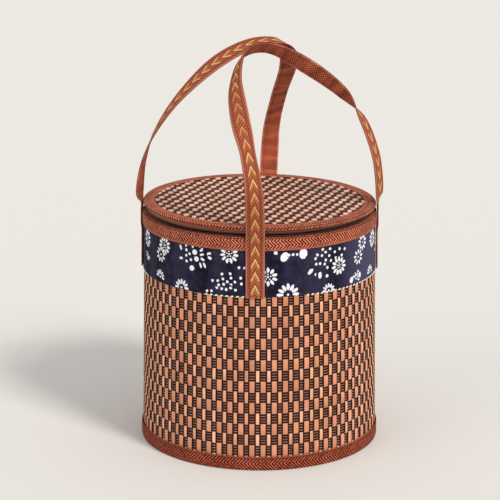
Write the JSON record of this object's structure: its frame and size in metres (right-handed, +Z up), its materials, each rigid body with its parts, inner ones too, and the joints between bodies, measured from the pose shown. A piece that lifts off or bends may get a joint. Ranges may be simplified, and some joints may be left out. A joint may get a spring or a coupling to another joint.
{
  "type": "bamboo picnic basket",
  "caption": "Round basket of woven bamboo slats with taped edges, a printed cloth band, a hinged zip lid and crossed webbing handles.",
  "frame": {"origin": "centre of the base on the surface it stands on", "axes": "+Z up through the lid and the handles, -Y towards the front strap, +X to the right seen from the front"},
  "size_m": [0.2538, 0.2481, 0.4167],
  "materials": {
    "bamboo": "split bamboo slats with fine grain, a soft satin skin and dark stained wefts",
    "binding_tape": "terracotta brown twill tape with stitched edges",
    "printed_cloth": "navy cotton with a white flower and leaf print",
    "webbing": "terracotta webbing with a woven cream and gold chevron on one side",
    "lining_cloth": "plain tan cotton lining",
    "card_board": "plain grey-brown board",
    "zip_cloth": "dark brown zip tape",
    "zip_coil": "dark brown nylon coil",
    "zip_metal": "aged brass"
  },
  "bodies": {
    "basket": {"base_board": "card_board", "base_lining": "lining_cloth", "wall_drum": "card_board", "wall_lining": "lining_cloth", "woven_wall": "bamboo", "foot_binding": "binding_tape", "cloth_band": "printed_cloth", "rim_binding": "binding_tape", "zip_tape_lower": "zip_cloth", "zip_coil_lower": "zip_coil", "zip_end_stop_back": "zip_metal", "zip_end_stop_right": "zip_metal", "hinge_cloth_lower": "binding_tape", "strap_end_front": "webbing", "strap_end_right": "webbing", "strap_end_back": "webbing", "strap_end_left": "webbing"},
    "lid": {"lid_lining": "lining_cloth", "lid_core": "card_board", "lid_binding": "binding_tape", "lid_mat": "bamboo", "zip_tape_upper": "zip_cloth", "zip_coil_upper": "zip_coil", "hinge_cloth_upper": "binding_tape"},
    "front_right_handle": {"handle_front_right": "webbing"},
    "back_left_handle": {"handle_back_left": "webbing"},
    "slider": {"zip_slider": "zip_metal"},
    "pull": {"zip_pull": "zip_metal"}
  },
  "joints": [
    {"name": "lid_hinge", "type": "hinge", "parent": "basket", "child": "lid", "pos_m": [0.08754, 0.08163, 0.2423], "axis": [-0.682, 0.7314, 0], "range_deg": [0, 100]},
    {"name": "front_right_handle_fold", "type": "hinge", "parent": "basket", "child": "front_right_handle", "pos_m": [-0.00423, -0.12108, 0.241], "axis": [0.7314, 0.682, 0], "range_deg": [0, 90]},
    {"name": "back_left_handle_fold", "type": "hinge", "parent": "basket", "child": "back_left_handle", "pos_m": [0.00951, 0.12078, 0.241], "axis": [-0.7461, -0.6659, 0], "range_deg": [0, 90]},
    {"name": "zip_travel", "type": "hinge", "parent": "basket", "child": "slider", "pos_m": [0, 0, 0.2423], "axis": [0, 0, 1], "range_deg": [0, 312]},
    {"name": "pull_swing", "type": "hinge", "parent": "slider", "child": "pull", "pos_m": [0.04611, 0.10862, 0.2423], "axis": [0, 0, -1], "range_deg": [0, 150]}
  ],
  "couplings": [
    {"joint": "front_right_handle_fold", "follows": "lid_hinge", "ratio": 0.9},
    {"joint": "back_left_handle_fold", "follows": "lid_hinge", "ratio": 0.9}
  ]
}
